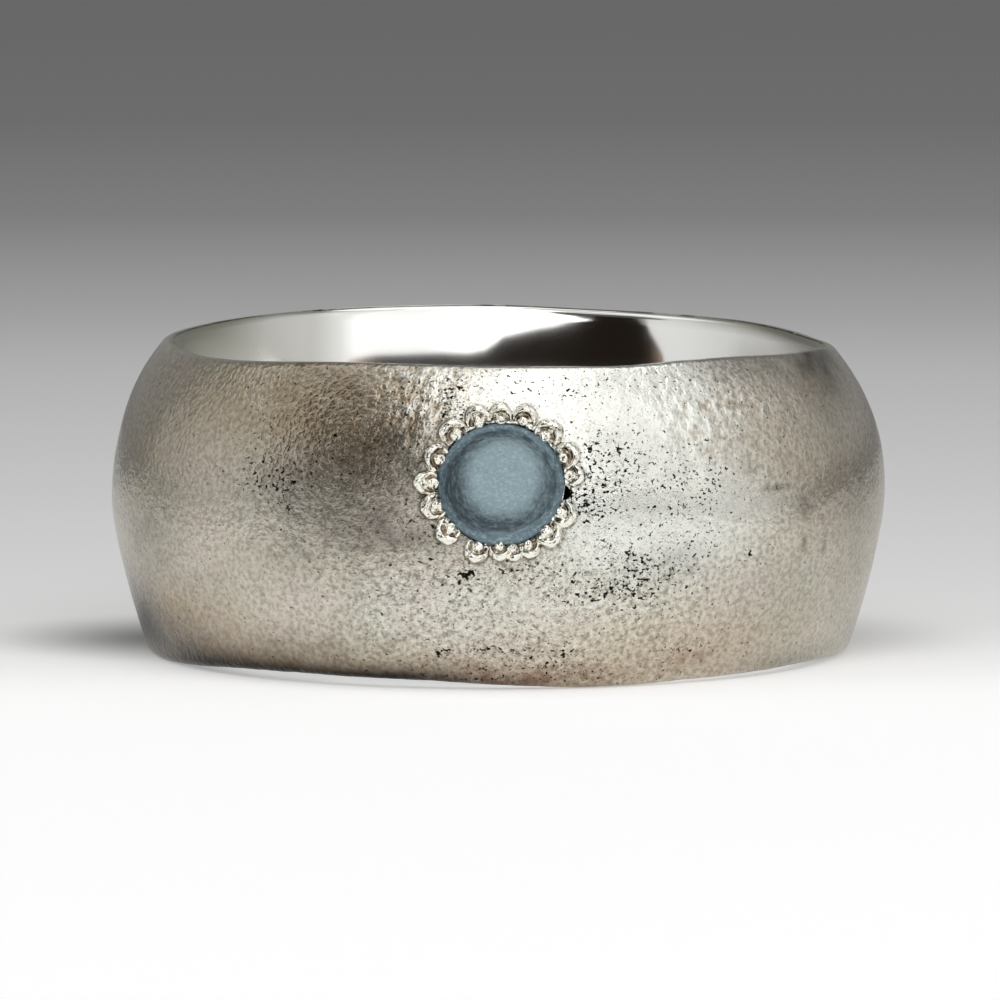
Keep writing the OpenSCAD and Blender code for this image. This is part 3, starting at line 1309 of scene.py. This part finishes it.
@dataclass
class SeaGlass:
    """The cabochon: a low crown, a steeper shoulder and a narrow skirt, all worn uneven."""

    seat: Seat
    finish: FrostedGlass = field(default_factory=FrostedGlass)
    radius: float = 1.73 * MM
    oval: float = 0.96
    rise: float = 0.44 * MM
    crown_fall: float = 0.2 * MM
    skirt_z: float = -0.02 * MM
    back: float = 1.0 * MM
    shoulder: float = 0.78
    skirt: float = 0.9
    # Painted shade on the shoulder by angle round the glass: strength, place, inner and outer reach
    shade: Stations = (
        (0, 0.72), (30, 0.66), (60, 0.62), (90, 0.72), (135, 0.78), (180, 1.0), (225, 0.88),
        (270, 0.92), (315, 0.72),
    )
    shade_place: Stations = (
        (0, 0.80), (30, 0.84), (60, 0.85), (90, 0.87), (135, 0.82), (180, 0.79), (225, 0.76),
        (270, 0.74), (315, 0.76),
    )
    shade_inner: Stations = (
        (0, 0.25), (45, 0.18), (90, 0.19), (135, 0.24), (180, 0.27), (225, 0.26), (270, 0.24),
        (315, 0.24),
    )
    shade_outer: Stations = (
        (0, 0.16), (45, 0.06), (90, 0.04), (135, 0.06), (180, 0.2), (225, 0.16), (270, 0.07),
    )
    # Painted shade along the outer edge, and the shares where it starts and ends
    rim_shade: float = 0.45
    rim_edge: Range = (0.95, 1.0)
    winding: float = 4.0
    sides: int = 144
    rings: int = 60

    # The crown's bend, the widths of the shoulder's bends as shares, and the skirt's fall
    crown_bend: float = 2.4
    shoulder_width: float = 0.1
    skirt_width: float = 0.05
    skirt_fall: float = 0.12 * MM

    # How uneven the outline is, as a share, and how deep the wear and the creases are, in mm
    edge_wave: Unevenness = Unevenness(0.012, 0.28, 6.0, 2)
    worn: Unevenness = Unevenness(0.03, 0.8 * MM, 5.0, 2)
    creased: Unevenness = Unevenness(0.03, 0.22 * MM, 9.0, 2)
    wall_depths: tuple[float, ...] = (0.16 * MM, 0.3 * MM)

    def profile(self, share: np.ndarray) -> np.ndarray:
        """Height of the glass over the seat's flat.

        Args:
            share: Shares of the glass's radius.

        Returns:
            The height at each, in metres.
        """
        crown = self.rise - self.crown_fall * (share / self.shoulder) ** self.crown_bend
        fall = smoothstep(self.shoulder - self.shoulder_width, self.skirt, share)
        skirt = self.skirt_z - self.skirt_fall * smoothstep(self.skirt, 1.0, share)
        return crown * (1.0 - fall) + skirt * fall

    def dome(self, share: np.ndarray, angle: np.ndarray) -> np.ndarray:
        """The points of the worn top.

        Args:
            share: Shares of the glass's radius.
            angle: Angles round it, in radians.

        Returns:
            The points on the seat, one row each.
        """
        round_way = np.stack([np.cos(angle), np.sin(angle), np.zeros(len(angle))], axis=1)
        wave = 1.0 + self.edge_wave.at(round_way)
        flat = round_way * (share * wave)[:, None] * self.radius * np.array([1.0, self.oval, 1.0])
        bend = np.exp(-(((share - self.shoulder) / self.shoulder_width) ** 2))
        height = self.profile(share) + self.worn.at(flat) * MM + self.creased.at(flat) * MM * bend
        return np.column_stack([flat[:, :2], height])

    def dress(self, mesh: bpy.types.Mesh, radial: np.ndarray, around: np.ndarray) -> None:
        """Paints what the finish reads on the glass: the painted shade of its shoulder and edge, its
        skirt, and places for its wrinkles.

        Args:
            mesh: The glass.
            radial: Its points' shares of the radius.
            around: Their angles in radians.
        """
        degrees = np.degrees(around)
        away = radial - round_about(self.shade_place, degrees)
        inner = round_about(self.shade_inner, degrees)
        reach = np.where(away < 0.0, inner, round_about(self.shade_outer, degrees))
        # The painted shade of the shoulder
        shoulder = round_about(self.shade, degrees) * np.exp(-((away / reach) ** 2))
        wound = np.column_stack([np.cos(around), np.sin(around), self.winding * radial])
        paint(mesh, {
            "shoulder": shoulder + self.rim_shade * smoothstep(*self.rim_edge, radial),
            "skirt": smoothstep(self.shoulder - self.skirt_width, self.skirt, radial),
            "wound": wound * self.radius,
        })

    def build(self) -> bpy.types.Object:
        """Builds the finished cabochon, which stands for the CAD's.

        Returns:
            The cabochon.
        """
        turn = np.arange(self.sides) * 2.0 * math.pi / self.sides
        share = np.repeat(np.linspace(0.0, 1.0, self.rings + 1)[1:], self.sides)
        top = self.dome(share, np.tile(turn, self.rings))
        walls = []
        for depth in (*self.wall_depths, self.back):
            ring = top[-self.sides:].copy()
            ring[:, 2] = -depth
            walls.append(ring)
        middle = np.array([[0.0, 0.0, self.rise]])
        under = np.array([[0.0, 0.0, -self.back]])
        rows = self.rings + len(walls)
        points = np.concatenate([top, *walls, middle, under])
        faces: list[tuple[int, ...]] = list(grid_faces(rows, self.sides, False))
        centre, bottom = rows * self.sides, rows * self.sides + 1
        last = (rows - 1) * self.sides
        for k in range(self.sides):
            after = (k + 1) % self.sides
            faces.append((centre, after, k))
            faces.append((bottom, last + k, last + after))
        mesh = mesh_from("sea_glass", self.seat.place(points), faces)
        face_outwards(mesh)
        radial = np.concatenate([share, np.ones(len(points) - len(share))])
        radial[centre] = 0.0
        self.dress(mesh, radial, np.resize(turn, len(points)))
        made = new_object("sea_glass", mesh, self.finish.build())
        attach(made, BODY)
        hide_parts("stone")
        return made


@dataclass(frozen=True)
class Grain:
    """One raised grain: its angle round the glass in degrees, and its sizes and place as shares."""

    angle: float
    along: float = 1.0
    across: float = 1.0
    tall: float = 1.0
    out: float = 1.0


@dataclass
class GrainCircle:
    """The grains raised round the glass with a beading tool, which leaves rings on each."""

    seat: Seat
    finish: BurnishedSilver = field(default_factory=BurnishedSilver)
    circle: float = 1.915 * MM
    radius: float = 0.395 * MM
    height: float = 0.30 * MM
    steepness: float = 2.6
    sink: float = 0.06 * MM
    groove_depth: float = 0.13 * MM
    groove_place: float = 0.56
    groove_width: float = 0.38
    tool_offset: float = 0.2
    lean: float = -14.0
    seed: float = 4.0
    segments: int = 48
    levels: int = 32

    # Soil in the groove and round the foot, at shares of the height, and small dents
    groove_top: Range = (0.0, 0.3)
    groove_soil: float = 0.75
    foot_soil: Range = (0.36, 0.2)
    dents: Pattern = Pattern(0.28 * MM)
    dent_depth: float = 0.16 * MM

    grains: tuple[Grain, ...] = tuple(Grain(*row) for row in (
        (7.6, 0.9, 0.84, 0.7, 1.03), (23.6, 1.0, 1.0, 1.0, 1.03), (46.7, 1.08, 1.04, 1.05, 1.0),
        (70.0, 1.0, 0.92, 1.0, 1.02), (90.0, 1.0, 0.9, 1.0, 0.99), (109.4, 1.04, 0.95, 1.0, 1.0),
        (132.1, 1.06, 1.06, 1.0, 1.01), (157.5, 1.02, 1.0, 1.0, 1.0), (179.3, 1.15, 0.9, 0.95, 1.04),
        (198.4, 1.02, 0.95, 0.95, 1.01), (221.2, 1.02, 0.95, 0.95, 1.01),
        (249.8, 0.98, 0.93, 1.0, 1.0), (268.7, 0.85, 0.82, 0.9, 0.94), (281.4, 0.85, 0.78, 0.7, 0.96),
        (294.7, 0.85, 0.8, 0.8, 0.99), (314.0, 1.04, 1.0, 0.95, 0.99), (334.6, 1.0, 0.96, 1.0, 1.0),
    ))

    def foot(self, grain: Grain) -> tuple[float, float]:
        """A grain's distance from the glass's middle, and its angle in radians."""
        return self.circle * grain.out, math.radians(grain.angle)

    def feet(self) -> list[Foot]:
        """Finds the feet of the grains.

        Returns:
            Each grain's middle on the seat's flat, and its reach.
        """
        found = []
        for grain in self.grains:
            away, angle = self.foot(grain)
            reach = self.radius * (grain.along + grain.across) / 2.0
            found.append(((away * math.cos(angle), away * math.sin(angle)), reach))
        return found

    def settings(self) -> dict[str, float]:
        """The named inputs of the nodes that make the grains.

        Returns:
            The value of each, by name.
        """
        return {"Radius": self.radius, "Height": self.height, "Steepness": self.steepness,
                "Groove depth": self.groove_depth, "Groove place": self.groove_place,
                "Groove width": self.groove_width, "Tool offset": self.tool_offset,
                "Seed": self.seed}

    def grain(self, board: NodeBoard, given: bpy.types.bpy_prop_collection) -> Socket:
        """Adds the nodes that shape one grain and mark its soil.

        Args:
            board: The nodes of the circle.
            given: The circle's named inputs.

        Returns:
            The grain.
        """
        ball = board.add("GeometryNodeMeshUVSphere", {
            "Segments": self.segments, "Rings": self.levels, "Radius": 1.0})
        place = board.add("GeometryNodeInputPosition").outputs[0]
        x, y, z = board.add("ShaderNodeSeparateXYZ", {0: place}).outputs
        along = board.math("ADD", x, given["Tool offset"])
        from_tool = board.math("SQRT", board.line(along, along, board.times(y, y)))
        away = board.math("ABSOLUTE", board.math("SUBTRACT", from_tool, given["Groove place"]))
        away = board.math("DIVIDE", away, given["Groove width"])
        groove = board.times(board.rise(away, 1.0, 0.0), board.rise(z, *self.groove_top))
        flat = board.math("POWER", board.line(x, x, board.times(y, y)), given["Steepness"])
        steep = board.math("SQRT", board.math("SUBTRACT", 1.0, flat))
        steep = board.times(steep, board.math("SIGN", z))
        tall = board.math("SUBTRACT", board.times(steep, given["Height"]),
                          board.times(groove, given["Groove depth"]))
        soiled = board.most(board.times(groove, self.groove_soil), board.rise(z, *self.foot_soil))
        marked = ball.outputs[0]
        for name, value in (("away", from_tool), ("groove", soiled)):
            marked = board.add("GeometryNodeStoreNamedAttribute", {
                "Geometry": marked, "Name": name, "Value": value},
                data_type="FLOAT", domain="POINT").outputs[0]
        shaped = board.add("ShaderNodeCombineXYZ", {
            0: board.times(x, given["Radius"]), 1: board.times(y, given["Radius"]), 2: tall})
        return board.add("GeometryNodeSetPosition", {
            "Geometry": marked, "Position": shaped.outputs[0]}).outputs[0]

    def tree(self, material: bpy.types.Material) -> tuple[bpy.types.NodeTree, dict[str, str]]:
        """Builds the nodes that set a grain on each point.

        Args:
            material: What the grains are made of.

        Returns:
            The tree, and the identifier of each named input.
        """
        tree = bpy.data.node_groups.new("grain_circle", "GeometryNodeTree")
        face = tree.interface
        face.new_socket(name="Points", in_out="INPUT", socket_type="NodeSocketGeometry")
        keys = {}
        for name in self.settings():
            made = face.new_socket(name=name, in_out="INPUT", socket_type="NodeSocketFloat")
            keys[name] = made.identifier
        face.new_socket(name="Grains", in_out="OUTPUT", socket_type="NodeSocketGeometry")
        board = NodeBoard(tree)
        given = board.add("NodeGroupInput").outputs
        grain = self.grain(board, given)
        turn, size = (
            board.add("GeometryNodeInputNamedAttribute", {"Name": name},
                      data_type="FLOAT_VECTOR").outputs[0]
            for name in ("turn", "size")
        )
        turned = board.add("FunctionNodeEulerToRotation", {0: turn}).outputs[0]
        set_out = board.add("GeometryNodeInstanceOnPoints", {
            "Points": given["Points"], "Instance": grain, "Rotation": turned, "Scale": size})
        real = board.add("GeometryNodeRealizeInstances", {0: set_out.outputs[0]})
        where = board.add("GeometryNodeInputPosition").outputs[0]
        rough = board.add("ShaderNodeTexNoise", {
            "Vector": where, "W": given["Seed"], "Scale": 1.0 / self.dents.size,
            "Detail": self.dents.detail}, noise_dimensions="4D").outputs[0]
        push = board.times(board.math("SUBTRACT", rough, 0.5), self.dent_depth)
        normal = board.add("GeometryNodeInputNormal").outputs[0]
        offset = board.vector("SCALE", {0: normal, "Scale": push})
        worn = board.add("GeometryNodeSetPosition", {"Geometry": real.outputs[0], "Offset": offset})
        smooth = board.add("GeometryNodeSetShadeSmooth", {0: worn.outputs[0]})
        dressed = board.add("GeometryNodeSetMaterial", {
            "Geometry": smooth.outputs[0], "Material": material})
        board.add("NodeGroupOutput", {0: dressed.outputs[0]})
        return tree, keys

    def host(self) -> bpy.types.Object:
        """Sets one point for each grain, with its turn and its size.

        Returns:
            The points, as one object.
        """
        upright = self.seat.matrix.to_3x3().to_4x4()
        lean = Matrix.Rotation(math.radians(self.lean), 4, "Y")
        points, turns, sizes = [], [], []
        for grain in self.grains:
            away, angle = self.foot(grain)
            depth = self.seat.drop(away, angle) + self.sink
            foot = Vector((away * math.cos(angle), away * math.sin(angle), -depth))
            points.append(self.seat.matrix @ foot)
            turns.append((upright @ Matrix.Rotation(angle, 4, "Z") @ lean).to_euler())
            sizes.append((grain.along, grain.across, grain.tall))
        mesh = bpy.data.meshes.new("grain_points")
        mesh.from_pydata(points, [], [])
        paint(mesh, {"turn": np.array(turns), "size": np.array(sizes)})
        return new_object("grain_points", mesh)

    def build(self) -> bpy.types.Object:
        """Builds the finished circle of grains.

        Returns:
            The grains, as one object.
        """
        tree, keys = self.tree(self.finish.build())
        host = self.host()
        modifier = host.modifiers.new("grains", "NODES")
        modifier.node_group = tree
        for name, value in self.settings().items():
            modifier[keys[name]] = value
        final = settled(host)
        made = new_object("grain_circle", final)
        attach(made, BODY)
        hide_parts("band")
        return made


# Studio


@dataclass(frozen=True)
class Card:
    """A soft light or a dark flag round the ring, drawn by its stations.

    A station is an azimuth, the elevation of the card's lower and upper edge there, all in degrees,
    and its strength. Azimuth 0 is where the camera stands, and it grows to the camera's right.
    """

    name: str
    stations: tuple[tuple[float, float, float, float], ...]
    distance: float = 0.6
    tint: Colour = (1.0, 1.0, 1.0)
    across_step: float = 2.0
    rows: int = 16
    lights_floor: bool = True

    def build(self) -> bpy.types.Object:
        """Builds the card, which the camera itself doesn't see.

        Returns:
            The card.
        """
        azimuths, lows, highs, strengths = np.array(self.stations).T
        regular = np.arange(azimuths[0], azimuths[-1], self.across_step)
        across = np.unique(np.concatenate([regular, azimuths]))
        low = np.interp(across, azimuths, lows)
        high = np.interp(across, azimuths, highs)
        glow = np.interp(across, azimuths, strengths)
        rise = np.linspace(0.0, 1.0, self.rows + 1)[:, None]
        elevation = np.radians(low * (1.0 - rise) + high * rise).ravel()
        azimuth = np.tile(np.radians(across), self.rows + 1)
        outwards = ring_places(np.cos(elevation), azimuth, np.sin(elevation))
        wide = len(across)
        faces = [(i * wide + j, i * wide + j + 1, (i + 1) * wide + j + 1, (i + 1) * wide + j)
                 for i in range(self.rows) for j in range(wide - 1)]
        mesh = mesh_from(self.name, outwards * self.distance, faces)
        paint(mesh, {"glow": np.tile(glow, self.rows + 1)})
        made = new_object(self.name, mesh, self.surface())
        made.visible_camera = False
        made.visible_diffuse = self.lights_floor
        return made

    def surface(self) -> bpy.types.Material:
        """Builds what the card glows with.

        Returns:
            The material.
        """
        material, board = empty_material(self.name)
        shine = {"Color": rgba(self.tint), "Strength": board.attribute("glow")}
        surface = board.add("ShaderNodeEmission", shine)
        board.add("ShaderNodeOutputMaterial", {"Surface": surface.outputs[0]})
        return material


@dataclass
class Studio:
    """A pale floor with a pool of light and shadows painted into its colour and a glow of its own,
    soft lights and the flag that darkens one side.
    """

    floor_z: float
    pool_y: float = -55.0 * MM
    floor_size: float = 2.5
    # The floor glows of itself with its painted colour, though it is no lamp
    floor_glow: float = 0.4
    ramp_reach: float = 0.5
    room: Colour = (0.27, 0.27, 0.265)
    # A painted pool of light: the floor's grey by distance in mm from the pool's middle
    pool_light_greys: Stations = (
        (0, 0.87), (47, 0.87), (54, 0.79), (63, 0.635), (78, 0.58), (100, 0.52), (145, 0.42),
        (170, 0.335), (220, 0.21), (283, 0.16), (368, 0.155), (500, 0.155),
    )
    floor_roughness: float = 0.9
    shadow_edge: Range = (2.0, 0.0)
    # Each painted shadow's middle, its two reaches and its strength
    shadows: tuple[tuple[tuple[float, ...], tuple[float, float], float], ...] = (
        ((-9.5 * MM, 2.6 * MM, 0.0), (3.2 * MM, 3.4 * MM), 0.70),
        ((9.5 * MM, 2.4 * MM, 0.0), (2.6 * MM, 3.6 * MM), 0.24),
    )
    cards: tuple[Card, ...] = (
        Card("key_light", (
            (-37, 14, 20, 1.55), (-31, 8, 22, 1.55), (-26, 6, 30, 1.55), (-22, 4, 50, 1.55),
            (-19, 2, 76, 1.6), (12, 2, 76, 1.6), (28, 2, 66, 1.12), (44, 2, 66, 1.12),
            (55, 2, 66, 1.15), (61, 2, 66, 0.85),
        )),
        Card("top_light", (
            (-44, 62, 86, 1.2), (-30, 62, 88, 1.8), (0, 62, 88, 2.1), (28, 62, 88, 1.8),
            (50, 64, 88, 2.1), (68, 66, 88, 1.2), (84, 68, 88, 0.5), (110, 68, 88, 0.4),
        ), 0.62),
        Card("rim_light", (
            (70, 63, 89, 0.9), (84, 63, 89, 1.2), (110, 62, 89, 1.2), (150, 57, 89, 1.3),
            (196, 57, 89, 1.3), (215, 66, 89, 0.5),
        ), 0.61, lights_floor=False),
        Card("right_light", (
            (61, 0, 27, 0.84), (80, 0, 27, 0.80), (100, 0, 27, 0.66), (115, 3, 27, 0.48),
            (130, 3, 27, 0.36), (155, 3, 27, 0.33),
        )),
        Card("right_high", (
            (61, 27, 62, 0.95), (96, 27, 60, 0.73), (135, 27, 52, 0.42), (155, 27, 50, 0.36),
        )),
        Card("left_light", (
            (-128, 0, 36, 0.35), (-117, 0, 40, 0.56), (-104, 0, 42, 0.62), (-90, 0, 45, 0.66),
            (-75, 0, 48, 0.74), (-58, 0, 48, 0.78),
        )),
        Card("left_high", (
            (-128, 36, 78, 0.52), (-104, 42, 84, 1.12), (-88, 45, 84, 1.08), (-66, 48, 84, 0.68),
            (-52, 52, 84, 0.66), (-40, 54, 84, 0.8),
        )),
        Card("flag", (
            (-68, -2, 2, 0.5), (-65, -2, 8.5, 0.25), (-62, -2, 11, 0.1), (-59.5, -2, 13, 0.03),
            (-56, -2, 17, 0.012), (-54, -2, 30, 0.012), (-36.5, -2, 30, 0.012),
            (-35.5, -2, 20, 0.012), (-29, -2, 17.0, 0.012), (-21, -2, 15.5, 0.012),
            (-15, -2, 14.8, 0.012), (-8, -2, 13.6, 0.012), (-2, -2, 12.6, 0.012),
            (1.5, -1, 10.9, 0.012), (5, 1, 9.5, 0.012), (11, 3, 8.8, 0.012), (22, 4.3, 8.8, 0.012),
            (37, 4.5, 8.2, 0.012), (43, 4.5, 8.0, 0.02), (47, 4.5, 7.8, 0.06), (51, 4.5, 7.4, 0.18),
            (55, 4.5, 7.0, 0.4), (59, 4.5, 6.4, 0.7),
        ), 0.5, (1.0, 0.72, 0.52)),
        Card("high_flag", (
            (-70, 28, 38, 0.16), (-64, 27, 50, 0.12), (-54, 26, 52, 0.09), (-36, 21, 54, 0.09),
            (-28, 25, 56, 0.09), (-22, 38, 54, 0.12),
        ), 0.51),
    )

    def floor(self) -> bpy.types.Object:
        """Builds the floor, with a pool of light painted palest round a place in front of the ring,
        painted shadows and a glow of its own.

        Returns:
            The floor.
        """
        half = self.floor_size
        square = np.array([[-half, -half, self.floor_z], [half, -half, self.floor_z],
                           [half, half, self.floor_z], [-half, half, self.floor_z]])
        mesh = mesh_from("floor", square, [(0, 1, 2, 3)])
        material, board, shader = new_material("pale_floor")
        places = board.places()
        centre = Vector((0.0, self.pool_y, self.floor_z))
        away = board.vector("DISTANCE", {0: places, 1: centre}, "Value")
        # The painted pool of light
        ramp = board.add("ShaderNodeValToRGB", {"Fac": board.times(away, 1.0 / self.ramp_reach)})
        elements = ramp.color_ramp.elements
        while len(elements) < len(self.pool_light_greys):
            elements.new(0.5)
        for element, (reach, grey) in zip(elements, self.pool_light_greys):
            element.position = reach * MM / self.ramp_reach
            element.color = rgba((grey, grey, grey))
        colour = ramp.outputs[0]
        # Painted shadows beside the ring, blended toward black
        for middle, (across, along), strength in self.shadows:
            apart = board.vector("SUBTRACT", {0: places, 1: middle})
            scaled = board.vector("MULTIPLY", {0: apart, 1: (1.0 / across, 1.0 / along, 0.0)})
            length = board.vector("LENGTH", {0: scaled}, "Value")
            cover = board.times(board.rise(length, *self.shadow_edge), strength)
            colour = board.blend(cover, colour, rgba(BLACK))
        # The floor's own glow, with its painted colour
        board.feed(shader, {
            "Base Color": colour, "Roughness": self.floor_roughness, "Specular IOR Level": 0.0,
            "Emission Color": colour, "Emission Strength": self.floor_glow})
        made = new_object("floor", mesh, material)
        return made

    def world(self) -> None:
        """The pale room round the ring."""
        world = bpy.data.worlds.new("room")
        world.use_nodes = True
        background = world.node_tree.nodes["Background"]
        background.inputs["Color"].default_value = rgba(self.room)
        background.inputs["Strength"].default_value = 1.0
        bpy.context.scene.world = world

    def build(self) -> None:
        """Sets up the floor, the room and the lights."""
        self.floor()
        self.world()
        for card in self.cards:
            card.build()


@dataclass
class Viewpoint:
    """The photograph's camera: a long lens a little above the ring, almost square to the glass."""

    azimuth: float = -0.34
    elevation: float = 5.85
    distance: float = 300.0 * MM
    lens: float = 380.0
    ring_middle: Vector = field(default_factory=lambda: Vector((0.0, 0.0, 0.3 * MM)))
    frame_right: float = 0.043 * MM
    frame_down: float = 0.454 * MM
    sensor: float = 36.0
    clip: Range = (0.01, 10.0)

    def build(self) -> bpy.types.Object:
        """Sets up the scene's camera.

        Returns:
            The camera.
        """
        a, e = math.radians(self.azimuth), math.radians(self.elevation)
        back = Vector((math.sin(a) * math.cos(e), -math.cos(a) * math.cos(e), math.sin(e)))
        right = Vector((math.cos(a), math.sin(a), 0.0))
        up = back.cross(right)
        data = bpy.data.cameras.new("camera")
        data.lens = self.lens
        data.sensor_width = self.sensor
        data.clip_start, data.clip_end = self.clip
        camera = bpy.data.objects.new("camera", data)
        aim = self.ring_middle + right * self.frame_right - up * self.frame_down
        camera.location = aim + back * self.distance
        camera.rotation_mode = "QUATERNION"
        camera.rotation_quaternion = (-back).to_track_quat("-Z", "Y")
        bpy.context.scene.collection.objects.link(camera)
        bpy.context.scene.camera = camera
        return camera


def main() -> None:
    """Builds the camera, the studio and each piece, and reports them."""
    logging.basicConfig(level=logging.INFO, format="%(name)s: %(message)s")
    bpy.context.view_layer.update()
    bpy.context.scene.view_settings.view_transform = "Standard"
    Viewpoint().build()
    low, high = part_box("band")
    Studio(floor_z=low.z).build()
    bore = next(m for m in frame["record"]["mounts"] if m["name"] == "finger_bore")
    section = Section(hole_r=bore["dims"]["r_mm"] * MM, widest_r=high.x, top_z=high.z, bottom_z=low.z)
    seat = Seat()
    grains = GrainCircle(seat)
    builders: tuple[Callable[[], bpy.types.Object], ...] = (
        Band(section, seat, grains.feet()).build,
        SeaGlass(seat).build,
        grains.build,
    )
    for build in builders:
        made = build()
        LOG.info("%s: %d faces", made.name, len(made.data.polygons))


if __name__ == "__main__":
    main()
